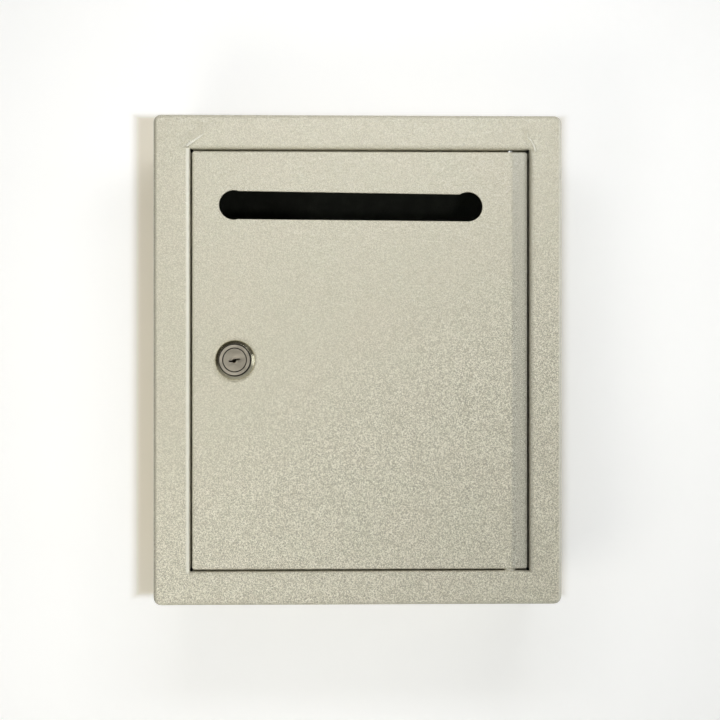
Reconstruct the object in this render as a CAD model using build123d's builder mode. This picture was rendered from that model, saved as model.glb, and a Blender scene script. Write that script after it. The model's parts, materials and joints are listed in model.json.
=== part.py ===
# A small wall-hung steel drop box: a folded case with an inset locking door.
#
# Millimetres. X runs to the right as the box is seen from the front, Z is up and the front faces -Y.
# The origin is the middle of the back face, where the box meets the wall.
from build123d import *
import os
from math import sqrt

TOLERANCE = 0.01  # how far an edge may lie from the plane or side that it is looked for at

# ---- driving dimensions ----------------------------------------------------------------------
WIDTH = 208.5
HEIGHT = 250.0
DEPTH = 80.0
SHEET = 0.8  # steel sheet of the case, the back panel and the door

# case: the front border is folded round into a lip that goes back beside the door
CORNER_RADIUS = 4.0
CASE_BEND = 2.2
LIP_BEND = 2.2
LIP_DEPTH = 16.0
BORDER_LEFT = 18.6
BORDER_RIGHT = 16.6
BORDER_TOP = 17.5
BORDER_BOTTOM = 17.2
LIP_NOTCH = 2.0  # open relief where two lips would meet
DOOR_STOP_LENGTH = 24.0  # of the cut in the lip that each stop is folded out of
DOOR_STOP_END_GAP = 0.5
DOOR_STOP_REACH = 7.0
DOOR_STOP_Z = 66.0
DOOR_STOP_GAP = 0.3  # behind the closed door

# back panel: a shallow tray, spot-welded inside the case
BACK_FLANGE = 9.0
BACK_BEND = 1.2
BACK_CLEARANCE = 0.1
BACK_NOTCH = 5.0
WALL_HOLE_RADIUS = 2.75
WALL_HOLE_SPACING_X = 120.0
WALL_HOLE_SPACING_Z = 140.0

# door
GAP_LEFT = 1.15
GAP_RIGHT = 1.1
GAP_TOP = 1.2
GAP_BOTTOM = 1.1
DOOR_FLANGE = 12.0
DOOR_BEND = 1.4
DOOR_EDGE_BEND = 1.2  # along the top and bottom edges
HINGE_BEND = 1.2  # along the hinged edge
HINGE_STRIP = 7.5  # width of the strip beside the hinged edge that leans back
HINGE_STRIP_DROP = 0.4
DOOR_NOTCH = 1.6
DOOR_CORNER_RADIUS = 1.5

# drop slot: a long cut, a little out of level, that ends in two rounds slightly wider than the cut
SLOT_END_RADIUS = 7.5
SLOT_LEFT_X = -63.3
SLOT_LEFT_Z = 78.9
SLOT_RIGHT_X = 55.95
SLOT_RIGHT_Z = 78.2
SLOT_ABOVE_LEFT = 7.1
SLOT_ABOVE_RIGHT = 6.2
SLOT_BELOW_LEFT = 7.2
SLOT_BELOW_RIGHT = 7.45

# hinge pins
PIN_RADIUS = 1.5
PIN_CLEARANCE = 0.05
PIN_HEAD_RADIUS = 2.6
PIN_HEAD_HEIGHT = 0.8
PIN_PROUD = 1.6
PIN_FROM_EDGE = 8.6
PIN_FROM_FACE = 4.2
PIN_CHAMFER = 0.4
SPACER_RADIUS = 3.0
SPACER_BORE = 1.6

# cam lock, measured from the door's front face: minus is in front of it
LOCK_FROM_LEFT = 41.8
LOCK_Z = 0.0
BARREL_RADIUS = 8.0
BARREL_LENGTH = 16.0
BARREL_FLAT = 6.9
THREAD_PITCH = 1.0
THREAD_DEPTH = 0.45
THREAD_LEAD_IN = 0.5
THREAD_LENGTH = 13.0
LOCK_HOLE_CLEARANCE = 0.15
HEAD_RADIUS = 8.2
HEAD_HEIGHT = 4.4
HEAD_EDGE = 0.5
HEAD_BORE_CHAMFER = 0.25
HEAD_FLANGE_RADIUS = 9.4
HEAD_FLANGE_HEIGHT = 1.2
BEZEL_RADIUS = 10.2
BEZEL_HEIGHT = 3.5
BEZEL_RIM = 0.6
BEZEL_TOP_RADIUS = 8.9
BEZEL_SIDE_RADIUS = 9.8  # a point that the rounded side passes through, and its height
BEZEL_SIDE_HEIGHT = 1.925
BEZEL_CLEARANCE = 0.08
LOCK_NUT_ACROSS_FLATS = 20.0
LOCK_NUT_HEIGHT = 3.0
LOCK_NUT_CHAMFER = 1.1
LOCK_NUT_CORNER_MARGIN = 0.1  # by which the turned cones end outside the hexagon's corners
LOCK_WASHER_RADIUS = 10.6
LOCK_WASHER_THICKNESS = 0.7
LOCK_WASHER_TEETH = 12
LOCK_WASHER_NOTCH_LENGTH = 2.4  # half of it lies outside the washer
LOCK_WASHER_NOTCH_WIDTH = 1.2
LOCK_WASHER_NOTCH_RADIUS = 0.4

PLUG_RADIUS = 5.6
PLUG_FACE_RADIUS = 6.0
PLUG_RECESS = 0.15
PLUG_FACE_DEPTH = 2.4
PLUG_CLEARANCE = 0.05
PLUG_TAIL = 6.2  # square post that drives the cam
PLUG_TAIL_CORNER_RADIUS = 4.0  # its corners are turned down to this, about the axis
PLUG_TAIL_LENGTH = 2.9
TAIL_HOLE = 6.3
KEYWAY_DEPTH = 12.5  # behind the door's face
KEYWAY_LEFT_ARM = (-2.9, -1.1, 0.9)  # end, underside and height of each arm, from the plug's axis
KEYWAY_RIGHT_ARM = (2.7, -0.15, 0.85)
KEYWAY_POST = (-0.2, -0.45, 1.05)  # middle and radius of the round between the arms

WAFER_COUNT = 5
WAFER_PITCH = 2.4
WAFER_FIRST = 0.6
WAFER_THICKNESS = 0.9
WAFER_SLOT = 1.0
WAFER_HALF_LENGTH = 4.7
WAFER_HALF_WIDTH = 3.0
WAFER_TRAVEL = 0.9
WAFER_WINDOW_HALF_LENGTH = 3.3
WAFER_WINDOW_HALF_WIDTH = 1.25
WAFER_SLACK = 0.05
GROOVE_SLACK = 0.2  # round a sprung wafer, in the housing's grooves
SPRING_RADIUS = 0.38
SPRING_WIRE_RADIUS = 0.08
SPRING_TURNS = 6
SPRING_SEAT_X = -4.2
SPRING_SHOULDER_X = -1.0
SPRING_SHELF_Z = 1.95

STOP_WASHER_THICKNESS = 0.9
STOP_WASHER_RADIUS = 6.0
STOP_TAB_WIDTH = 3.2
STOP_TAB_RADIUS = 7.6
STOP_TAB_SLACK = 0.1  # on each side of the tab, at each end of the turn
STOP_LUG_INNER = 6.4
STOP_LUG_OUTER = 7.4
STACK_GAP = 0.05
CAM_THICKNESS = 2.0
CAM_REACH = 30.0
CAM_HUB_RADIUS = 8.0
CAM_WIDTH = 12.0
CAM_TIP_RADIUS = 2.5
CAM_BEVEL = 0.5
CAM_WASHER_RADIUS = 5.0
CAM_WASHER_BORE = 2.15
CAM_WASHER_THICKNESS = 0.8
CAM_WASHER_EDGE = 0.2
CAM_SCREW_RADIUS = 2.0
CAM_SCREW_LENGTH = 5.5
CAM_SCREW_TIP_CHAMFER = 0.4
CAM_SCREW_HEAD_ACROSS_FLATS = 7.0
CAM_SCREW_HEAD_HEIGHT = 2.6
CAM_SCREW_HEAD_CHAMFER = 0.3
CAM_SCREW_HOLE_CLEARANCE = 0.02
CAM_SCREW_HOLE_DEPTH = 5.0
CAM_SCREW_RECESS_DEPTH = 1.2
CAM_SCREW_RECESS_LENGTH = 4.6
CAM_SCREW_RECESS_WIDTH = 0.9

# ---- places worked out from them ---------------------------------------------------------------
FRONT = -DEPTH
OPENING_LEFT = -WIDTH / 2 + BORDER_LEFT
OPENING_RIGHT = WIDTH / 2 - BORDER_RIGHT
OPENING_TOP = HEIGHT / 2 - BORDER_TOP
OPENING_BOTTOM = -HEIGHT / 2 + BORDER_BOTTOM
OPENING_WIDTH = OPENING_RIGHT - OPENING_LEFT
OPENING_HEIGHT = OPENING_TOP - OPENING_BOTTOM
OPENING_X = (OPENING_LEFT + OPENING_RIGHT) / 2
OPENING_Z = (OPENING_TOP + OPENING_BOTTOM) / 2

DOOR_LEFT = OPENING_LEFT + GAP_LEFT
DOOR_RIGHT = OPENING_RIGHT - GAP_RIGHT
DOOR_TOP = OPENING_TOP - GAP_TOP
DOOR_BOTTOM = OPENING_BOTTOM + GAP_BOTTOM

HINGE_X = DOOR_RIGHT - PIN_FROM_EDGE
HINGE_Y = FRONT + PIN_FROM_FACE
LOCK_X = -WIDTH / 2 + LOCK_FROM_LEFT

HOUSING_BACK = FRONT + BARREL_LENGTH
CAM_FRONT = HOUSING_BACK + STOP_WASHER_THICKNESS + 2 * STACK_GAP
CAM_BACK = CAM_FRONT + CAM_THICKNESS
HEAD_FRONT = FRONT - HEAD_HEIGHT

LOCK_AXIS = Axis((LOCK_X, 0, LOCK_Z), (0, 1, 0))
LOCK_SECTION = Plane(origin=(LOCK_X, FRONT, LOCK_Z), x_dir=(1, 0, 0), z_dir=(0, 0, 1))


def facing_front(y, x=0.0, z=0.0):
    """A sketch plane at depth y that faces the front: its x is X, its y is Z and its normal is -Y."""
    return Plane.XZ.offset(-y) * Location((x, z, 0))


def lock_plane(y):
    """A front-facing sketch plane at depth y with its origin on the lock's axis."""
    return facing_front(y, LOCK_X, LOCK_Z)


def finish(part, name):
    """Labels a finished piece and writes it as parts/NAME.step."""
    part.label = name
    export_step(part, os.path.join("parts", name + ".step"))


def edges_at(part, axis, position):
    """The edges of a part that lie wholly in the plane at a position along an axis."""
    return part.edges().filter_by_position(axis, position - TOLERANCE, position + TOLERANCE)


# ---- case --------------------------------------------------------------------------------------
def make_case_shell():
    """The folded and corner-welded sheet: four walls, the front border and the lip round the door."""
    with BuildPart() as case_shell:
        with BuildSketch(facing_front(FRONT)):
            RectangleRounded(WIDTH, HEIGHT, CORNER_RADIUS)
        extrude(amount=-DEPTH)
        fillet(edges_at(case_shell, Axis.Y, FRONT), CASE_BEND)
        offset(amount=-SHEET, openings=case_shell.faces().sort_by(Axis.Y)[-1])

        with BuildSketch(facing_front(FRONT + SHEET / 2)):
            with Locations((OPENING_X, OPENING_Z)):
                Rectangle(OPENING_WIDTH + 2 * SHEET, OPENING_HEIGHT + 2 * SHEET)
        extrude(amount=-(LIP_DEPTH - SHEET / 2))
        root = [
            edge
            for edge in edges_at(case_shell, Axis.Y, FRONT + SHEET)
            if OPENING_LEFT - LIP_BEND < edge.center().X < OPENING_RIGHT + LIP_BEND
            and OPENING_BOTTOM - LIP_BEND < edge.center().Z < OPENING_TOP + LIP_BEND
        ]
        fillet(root, LIP_BEND - SHEET)
        with BuildSketch(facing_front(FRONT)):
            with Locations((OPENING_X, OPENING_Z)):
                Rectangle(OPENING_WIDTH, OPENING_HEIGHT)
        extrude(amount=-LIP_DEPTH, mode=Mode.SUBTRACT)
        rim = [
            edge
            for edge in edges_at(case_shell, Axis.Y, FRONT)
            if abs(edge.center().X - OPENING_X) < OPENING_WIDTH / 2 + SHEET / 2
            and abs(edge.center().Z - OPENING_Z) < OPENING_HEIGHT / 2 + SHEET / 2
        ]
        fillet(rim, LIP_BEND)

        # the lips stay apart at the corners of the opening
        with BuildSketch(facing_front(FRONT + LIP_BEND)):
            with Locations((OPENING_X, OPENING_Z)):
                with GridLocations(OPENING_WIDTH, OPENING_HEIGHT, 2, 2):
                    Rectangle(LIP_NOTCH, LIP_NOTCH)
        extrude(amount=-LIP_DEPTH, mode=Mode.SUBTRACT)

        # two tabs folded inwards out of the latch-side lip stop the door
        stop_front = FRONT + DOOR_FLANGE + DOOR_STOP_GAP
        for z in (-DOOR_STOP_Z, DOOR_STOP_Z):
            with BuildSketch(facing_front(stop_front)):
                with Locations((OPENING_LEFT - SHEET, z)):
                    Rectangle(SHEET, DOOR_STOP_LENGTH, align=(Align.MIN, Align.CENTER))
            extrude(amount=-LIP_DEPTH, mode=Mode.SUBTRACT)
            with BuildSketch(facing_front(stop_front)):
                with Locations((OPENING_LEFT - SHEET, z)):
                    Rectangle(
                        SHEET + DOOR_STOP_REACH,
                        DOOR_STOP_LENGTH - 2 * DOOR_STOP_END_GAP,
                        align=(Align.MIN, Align.CENTER),
                    )
            extrude(amount=-SHEET)

        # pivot holes for the hinge pins, through the top and bottom lips
        with BuildSketch(Plane.XY.offset(OPENING_BOTTOM - 2 * SHEET)):
            with Locations((HINGE_X, HINGE_Y)):
                Circle(PIN_RADIUS + PIN_CLEARANCE)
        extrude(amount=OPENING_HEIGHT + 4 * SHEET, mode=Mode.SUBTRACT)
    finish(case_shell.part, "case_shell")


def make_back_panel():
    """The tray that closes the back, with its flanges against the case walls and four wall holes."""
    tray_width = WIDTH - 2 * (SHEET + BACK_CLEARANCE)
    tray_height = HEIGHT - 2 * (SHEET + BACK_CLEARANCE)
    with BuildPart() as back_panel:
        with BuildSketch(facing_front(0)):
            RectangleRounded(tray_width, tray_height, CORNER_RADIUS - SHEET)
        extrude(amount=BACK_FLANGE)
        fillet(edges_at(back_panel, Axis.Y, 0), BACK_BEND)
        offset(amount=-SHEET, openings=back_panel.faces().sort_by(Axis.Y)[0])
        with BuildSketch(facing_front(-BACK_FLANGE)):
            with GridLocations(tray_width, tray_height, 2, 2):
                Rectangle(2 * BACK_NOTCH, 2 * BACK_NOTCH)
        extrude(amount=-(BACK_FLANGE - BACK_BEND), mode=Mode.SUBTRACT)
        with BuildSketch(facing_front(0)):
            with GridLocations(WALL_HOLE_SPACING_X, WALL_HOLE_SPACING_Z, 2, 2):
                Circle(WALL_HOLE_RADIUS)
        extrude(amount=SHEET, mode=Mode.SUBTRACT)
    finish(back_panel.part, "back_panel")


# ---- door --------------------------------------------------------------------------------------
def make_door_panel():
    """The folded door: a flat face with a strip that leans back beside the hinge, and four flanges."""
    back = FRONT + DOOR_FLANGE
    strip_front = FRONT + HINGE_STRIP_DROP
    with BuildPart() as door_panel:
        with BuildSketch(Plane.XY.offset(DOOR_BOTTOM)) as section:
            with BuildLine():
                Polyline(
                    (DOOR_LEFT, back),
                    (DOOR_LEFT, FRONT),
                    (DOOR_RIGHT - HINGE_STRIP, FRONT),
                    (DOOR_RIGHT, strip_front),
                    (DOOR_RIGHT, back),
                    close=True,
                )
            make_face()
            fillet(section.vertices().sort_by_distance((DOOR_LEFT, FRONT, DOOR_BOTTOM))[0], DOOR_BEND)
            fillet(
                section.vertices().sort_by_distance((DOOR_RIGHT, strip_front, DOOR_BOTTOM))[0],
                HINGE_BEND,
            )
        extrude(amount=DOOR_TOP - DOOR_BOTTOM)
        for z in (DOOR_BOTTOM, DOOR_TOP):
            front_edges = edges_at(door_panel, Axis.Z, z).filter_by(
                lambda edge: edge.center().Y < back - TOLERANCE and edge.bounding_box().size.Y < HINGE_BEND
            )
            fillet(front_edges, DOOR_EDGE_BEND)
        offset(amount=-SHEET, openings=door_panel.faces().sort_by(Axis.Y)[-1])

        # rounded corners, with open reliefs behind them where two flanges would meet
        middle = ((DOOR_LEFT + DOOR_RIGHT) / 2, (DOOR_TOP + DOOR_BOTTOM) / 2)
        with BuildSketch(facing_front(back)):
            with Locations(middle):
                with GridLocations(DOOR_RIGHT - DOOR_LEFT, DOOR_TOP - DOOR_BOTTOM, 2, 2):
                    Rectangle(2 * DOOR_NOTCH, 2 * DOOR_NOTCH)
        extrude(amount=DOOR_FLANGE - 2 * HINGE_BEND, mode=Mode.SUBTRACT)
        with BuildSketch(facing_front(FRONT)):
            with Locations(middle):
                RectangleRounded(DOOR_RIGHT - DOOR_LEFT, DOOR_TOP - DOOR_BOTTOM, DOOR_CORNER_RADIUS)
        extrude(amount=-DOOR_FLANGE, mode=Mode.INTERSECT)

        # drop slot
        with BuildSketch(facing_front(FRONT)):
            with Locations((SLOT_LEFT_X, SLOT_LEFT_Z), (SLOT_RIGHT_X, SLOT_RIGHT_Z)):
                Circle(SLOT_END_RADIUS)
            with BuildLine():
                Polyline(
                    (SLOT_LEFT_X, SLOT_LEFT_Z - SLOT_BELOW_LEFT),
                    (SLOT_LEFT_X, SLOT_LEFT_Z + SLOT_ABOVE_LEFT),
                    (SLOT_RIGHT_X, SLOT_RIGHT_Z + SLOT_ABOVE_RIGHT),
                    (SLOT_RIGHT_X, SLOT_RIGHT_Z - SLOT_BELOW_RIGHT),
                    close=True,
                )
            make_face()
        extrude(amount=-2 * SHEET, mode=Mode.SUBTRACT)

        # lock hole with two flats, so that the lock can't turn in it
        with BuildSketch(lock_plane(FRONT)):
            Circle(BARREL_RADIUS + LOCK_HOLE_CLEARANCE)
            Rectangle(
                4 * BARREL_RADIUS,
                2 * (BARREL_FLAT + LOCK_HOLE_CLEARANCE),
                mode=Mode.INTERSECT,
            )
        extrude(amount=-2 * SHEET, mode=Mode.SUBTRACT)

        # holes for the hinge pins, through the top and bottom flanges
        with BuildSketch(Plane.XY.offset(DOOR_BOTTOM)):
            with Locations((HINGE_X, HINGE_Y)):
                Circle(PIN_RADIUS)
        extrude(amount=DOOR_TOP - DOOR_BOTTOM, mode=Mode.SUBTRACT)
    finish(door_panel.part, "door_panel")


def make_hinge_pin(name, up, flange_z, lip_z):
    """A headed pin fixed in one door flange. It turns in the lip; up is 1 for the upper pin, else -1."""
    head_z = flange_z - up * (SHEET + PIN_HEAD_HEIGHT)
    end_z = lip_z + up * (SHEET + PIN_PROUD)
    with BuildPart() as hinge_pin:
        with BuildSketch(Plane.XY.offset(head_z)):
            with Locations((HINGE_X, HINGE_Y)):
                Circle(PIN_HEAD_RADIUS)
        extrude(amount=up * PIN_HEAD_HEIGHT)
        with BuildSketch(Plane.XY.offset(head_z)):
            with Locations((HINGE_X, HINGE_Y)):
                Circle(PIN_RADIUS)
        extrude(amount=end_z - head_z)
        chamfer(edges_at(hinge_pin, Axis.Z, end_z), PIN_CHAMFER)
        fillet(edges_at(hinge_pin, Axis.Z, head_z), PIN_CHAMFER)
    finish(hinge_pin.part, name)


def make_hinge_spacer():
    """The ring on the lower hinge pin that carries the door and keeps its gap."""
    with BuildPart() as hinge_spacer:
        with BuildSketch(Plane.XY.offset(OPENING_BOTTOM)):
            with Locations((HINGE_X, HINGE_Y)):
                Circle(SPACER_RADIUS)
                Circle(SPACER_BORE, mode=Mode.SUBTRACT)
        extrude(amount=DOOR_BOTTOM - OPENING_BOTTOM)
    finish(hinge_spacer.part, "hinge_spacer")


# ---- cam lock ----------------------------------------------------------------------------------
def make_lock_housing():
    """The die-cast lock body: round head, threaded barrel with two flats, plug bore and cam stop."""
    bore = PLUG_RADIUS + PLUG_CLEARANCE
    counterbore = PLUG_FACE_RADIUS + PLUG_CLEARANCE
    counterbore_depth = PLUG_RECESS + PLUG_FACE_DEPTH + PLUG_CLEARANCE
    root = BARREL_RADIUS - THREAD_DEPTH
    thread_back = BARREL_LENGTH - THREAD_LEAD_IN
    thread = []
    for turn in range(int(THREAD_LENGTH / THREAD_PITCH)):
        crest = thread_back - turn * THREAD_PITCH
        thread += [(BARREL_RADIUS, crest), (root, crest - THREAD_PITCH / 2)]
    with BuildPart() as lock_housing:
        with BuildSketch(LOCK_SECTION):
            with BuildLine():
                Polyline(
                    (bore, BARREL_LENGTH),
                    (root, BARREL_LENGTH),
                    *thread,
                    (BARREL_RADIUS, thread_back - THREAD_LENGTH),
                    (BARREL_RADIUS, 0),
                    (HEAD_FLANGE_RADIUS, 0),
                    (HEAD_FLANGE_RADIUS, -HEAD_FLANGE_HEIGHT),
                    (HEAD_RADIUS, -HEAD_FLANGE_HEIGHT),
                    (HEAD_RADIUS, -HEAD_HEIGHT),
                    (counterbore, -HEAD_HEIGHT),
                    (counterbore, -HEAD_HEIGHT + counterbore_depth),
                    (bore, -HEAD_HEIGHT + counterbore_depth),
                    close=True,
                )
            make_face()
        revolve(axis=LOCK_AXIS)
        front_edges = edges_at(lock_housing, Axis.Y, HEAD_FRONT).sort_by(SortBy.LENGTH)
        fillet(front_edges[-1], HEAD_EDGE)
        chamfer(front_edges[0], HEAD_BORE_CHAMFER)

        # two flats along the barrel
        with BuildSketch(lock_plane(HOUSING_BACK)):
            Rectangle(4 * BARREL_RADIUS, 4 * BARREL_RADIUS)
            Rectangle(4 * BARREL_RADIUS, 2 * BARREL_FLAT, mode=Mode.SUBTRACT)
        extrude(amount=BARREL_LENGTH, mode=Mode.SUBTRACT)

        # broached grooves that the wafers spring into, with the key drawn at either end of the turn
        groove_half_width = WAFER_HALF_WIDTH + GROOVE_SLACK
        groove_reach = WAFER_HALF_LENGTH + WAFER_TRAVEL + GROOVE_SLACK
        with BuildSketch(lock_plane(HOUSING_BACK)):
            Rectangle(2 * groove_reach, 2 * groove_half_width)
            Rectangle(2 * groove_half_width, 2 * groove_reach)
        extrude(amount=BARREL_LENGTH + WAFER_SLOT, mode=Mode.SUBTRACT)

        # raised stop: the washer's tab travels a quarter turn, from straight down to the left
        half_tab = STOP_TAB_WIDTH / 2 + STOP_TAB_SLACK
        with BuildSketch(lock_plane(HOUSING_BACK)):
            Circle(STOP_LUG_OUTER)
            Circle(STOP_LUG_INNER, mode=Mode.SUBTRACT)
            Rectangle(4 * BARREL_RADIUS, 2 * BARREL_FLAT, mode=Mode.INTERSECT)
            with Locations((half_tab, half_tab)):
                Rectangle(
                    2 * BARREL_RADIUS,
                    2 * BARREL_RADIUS,
                    align=(Align.MAX, Align.MAX),
                    mode=Mode.SUBTRACT,
                )
        extrude(amount=-STOP_WASHER_THICKNESS)
    finish(lock_housing.part, "lock_housing")


def make_lock_bezel():
    """The pressed bright ring that covers the housing's flange."""
    inner = HEAD_RADIUS + BEZEL_CLEARANCE
    recess = HEAD_FLANGE_RADIUS + BEZEL_CLEARANCE
    with BuildPart() as lock_bezel:
        with BuildSketch(LOCK_SECTION):
            with BuildLine():
                Line((recess, 0), (BEZEL_RADIUS, 0))
                Line((BEZEL_RADIUS, 0), (BEZEL_RADIUS, -BEZEL_RIM))
                ThreePointArc(
                    (BEZEL_RADIUS, -BEZEL_RIM),
                    (BEZEL_SIDE_RADIUS, -BEZEL_SIDE_HEIGHT),
                    (BEZEL_TOP_RADIUS, -BEZEL_HEIGHT),
                )
                Polyline(
                    (BEZEL_TOP_RADIUS, -BEZEL_HEIGHT),
                    (inner, -BEZEL_HEIGHT),
                    (inner, -HEAD_FLANGE_HEIGHT - BEZEL_CLEARANCE),
                    (recess, -HEAD_FLANGE_HEIGHT - BEZEL_CLEARANCE),
                    (recess, 0),
                )
            make_face()
        revolve(axis=LOCK_AXIS)
    finish(lock_bezel.part, "lock_bezel")


def make_lock_washer():
    """The toothed washer under the lock's nut."""
    with BuildPart() as lock_washer:
        with BuildSketch(lock_plane(FRONT + SHEET)):
            Circle(LOCK_WASHER_RADIUS)
            Circle(BARREL_RADIUS + LOCK_HOLE_CLEARANCE, mode=Mode.SUBTRACT)
            with PolarLocations(LOCK_WASHER_RADIUS, LOCK_WASHER_TEETH):
                RectangleRounded(
                    LOCK_WASHER_NOTCH_LENGTH,
                    LOCK_WASHER_NOTCH_WIDTH,
                    LOCK_WASHER_NOTCH_RADIUS,
                    mode=Mode.SUBTRACT,
                )
        extrude(amount=-LOCK_WASHER_THICKNESS)
    finish(lock_washer.part, "lock_washer")


def make_lock_nut():
    """The thin hexagon nut that clamps the lock to the door."""
    nut_front = FRONT + SHEET + LOCK_WASHER_THICKNESS
    corner = LOCK_NUT_ACROSS_FLATS / sqrt(3)
    beyond = corner + LOCK_NUT_CORNER_MARGIN
    with BuildPart() as lock_nut:
        with BuildSketch(lock_plane(nut_front)):
            RegularPolygon(corner, 6)
            Circle(BARREL_RADIUS + PLUG_CLEARANCE, mode=Mode.SUBTRACT)
        extrude(amount=-LOCK_NUT_HEIGHT)
        # both faces are turned to a cone, which cuts the hexagon's corners back
        with BuildSketch(LOCK_SECTION):
            start = SHEET + LOCK_WASHER_THICKNESS
            end = start + LOCK_NUT_HEIGHT
            with BuildLine():
                Polyline(
                    (0, start),
                    (corner - LOCK_NUT_CHAMFER, start),
                    (beyond, start + LOCK_NUT_CHAMFER / 2),
                    (beyond, end - LOCK_NUT_CHAMFER / 2),
                    (corner - LOCK_NUT_CHAMFER, end),
                    (0, end),
                    close=True,
                )
            make_face()
        revolve(axis=LOCK_AXIS, mode=Mode.INTERSECT)
    finish(lock_nut.part, "lock_nut")


def wafer_y(index):
    """The depth of the middle of a wafer's slot."""
    return FRONT + WAFER_FIRST + index * WAFER_PITCH


def make_lock_plug():
    """The plug that the key turns: keyway, wafer slots, and the square tail that drives the cam."""
    tail_back = HOUSING_BACK + PLUG_TAIL_LENGTH
    plug_front = HEAD_FRONT + PLUG_RECESS
    with BuildPart() as lock_plug:
        with BuildSketch(lock_plane(plug_front)):
            Circle(PLUG_FACE_RADIUS)
        extrude(amount=-PLUG_FACE_DEPTH)
        fillet(edges_at(lock_plug, Axis.Y, plug_front), HEAD_EDGE)
        with BuildSketch(lock_plane(plug_front + PLUG_FACE_DEPTH)):
            Circle(PLUG_RADIUS)
        extrude(amount=-(HOUSING_BACK - plug_front - PLUG_FACE_DEPTH))
        with BuildSketch(lock_plane(HOUSING_BACK)):
            Rectangle(PLUG_TAIL, PLUG_TAIL)
            Circle(PLUG_TAIL_CORNER_RADIUS, mode=Mode.INTERSECT)
        extrude(amount=-PLUG_TAIL_LENGTH)

        # tapped hole for the cam's screw
        with BuildSketch(lock_plane(tail_back)):
            Circle(CAM_SCREW_RADIUS + CAM_SCREW_HOLE_CLEARANCE)
        extrude(amount=CAM_SCREW_HOLE_DEPTH, mode=Mode.SUBTRACT)

        # stepped keyway
        with BuildSketch(lock_plane(plug_front)):
            for end, underside, height in (KEYWAY_LEFT_ARM, KEYWAY_RIGHT_ARM):
                with Locations((end / 2, underside)):
                    Rectangle(abs(end), height, align=(Align.CENTER, Align.MIN))
            with Locations(KEYWAY_POST[:2]):
                Circle(KEYWAY_POST[2])
        extrude(amount=-(FRONT + KEYWAY_DEPTH - plug_front), mode=Mode.SUBTRACT)

        # wafer slots, each with a shelf left in one corner for the spring to push on
        for index in range(WAFER_COUNT):
            with BuildSketch(lock_plane(wafer_y(index) - WAFER_SLOT / 2)):
                Rectangle(4 * PLUG_RADIUS, 2 * (WAFER_HALF_WIDTH + WAFER_SLACK))
                with Locations((SPRING_SEAT_X - WAFER_SLACK, SPRING_SHELF_Z + WAFER_SLACK)):
                    Rectangle(
                        PLUG_RADIUS,
                        WAFER_HALF_WIDTH,
                        align=(Align.MAX, Align.MIN),
                        mode=Mode.SUBTRACT,
                    )
            extrude(amount=-WAFER_SLOT, mode=Mode.SUBTRACT)
    finish(lock_plug.part, "lock_plug")


def make_wafer(index):
    """One brass wafer with a window for the key and a notch for its spring, drawn in flush."""
    with BuildPart() as wafer:
        with BuildSketch(lock_plane(wafer_y(index) - WAFER_THICKNESS / 2)):
            Rectangle(2 * WAFER_HALF_LENGTH, 2 * WAFER_HALF_WIDTH)
            Rectangle(2 * WAFER_WINDOW_HALF_LENGTH, 2 * WAFER_WINDOW_HALF_WIDTH, mode=Mode.SUBTRACT)
            with Locations((SPRING_SHOULDER_X, SPRING_SHELF_Z)):
                Rectangle(
                    WAFER_HALF_LENGTH,
                    WAFER_HALF_WIDTH,
                    align=(Align.MAX, Align.MIN),
                    mode=Mode.SUBTRACT,
                )
        extrude(amount=-WAFER_THICKNESS)
    finish(wafer.part, f"wafer_{index + 1}")


def make_wafer_spring(index):
    """The small coil spring that pushes a wafer out, between the plug's shelf and the wafer's shoulder."""
    length = SPRING_SHOULDER_X - WAFER_SLACK - SPRING_SEAT_X - 2 * SPRING_WIRE_RADIUS
    middle_z = (SPRING_SHELF_Z + WAFER_SLACK + WAFER_HALF_WIDTH + WAFER_SLACK) / 2
    start = Vector(LOCK_X + SPRING_SEAT_X + SPRING_WIRE_RADIUS, wafer_y(index), LOCK_Z + middle_z)
    with BuildPart() as wafer_spring:
        with BuildLine():
            coil = Helix(
                pitch=length / SPRING_TURNS,
                height=length,
                radius=SPRING_RADIUS,
                center=start,
                direction=(1, 0, 0),
            )
        with BuildSketch(Plane(origin=coil @ 0, z_dir=coil % 0)):
            Circle(SPRING_WIRE_RADIUS)
        sweep(path=coil, is_frenet=True)
    finish(wafer_spring.part, f"wafer_spring_{index + 1}")


def make_cam_stop_washer():
    """The washer on the plug's tail whose tab meets the housing's stop at each end of the quarter turn."""
    with BuildPart() as cam_stop_washer:
        with BuildSketch(lock_plane(HOUSING_BACK + STACK_GAP)):
            Circle(STOP_WASHER_RADIUS)
            Rectangle(STOP_TAB_WIDTH, STOP_TAB_RADIUS, align=(Align.CENTER, Align.MAX))
            Rectangle(TAIL_HOLE, TAIL_HOLE, mode=Mode.SUBTRACT)
        extrude(amount=-STOP_WASHER_THICKNESS)
    finish(cam_stop_washer.part, "cam_stop_washer")


def make_lock_cam():
    """The flat tongue that swings behind the case's lip. It hangs straight down when unlocked."""
    with BuildPart() as lock_cam:
        with BuildSketch(lock_plane(CAM_FRONT)) as outline:
            Rectangle(CAM_WIDTH, CAM_REACH, align=(Align.CENTER, Align.MAX))
            fillet(outline.vertices().group_by(Axis.Z)[0], CAM_TIP_RADIUS)
            Circle(CAM_HUB_RADIUS)
            Rectangle(TAIL_HOLE, TAIL_HOLE, mode=Mode.SUBTRACT)
        extrude(amount=-CAM_THICKNESS)
        chamfer(edges_at(lock_cam, Axis.Y, CAM_FRONT).group_by(Axis.Z)[0], CAM_BEVEL)
    finish(lock_cam.part, "lock_cam")


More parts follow.
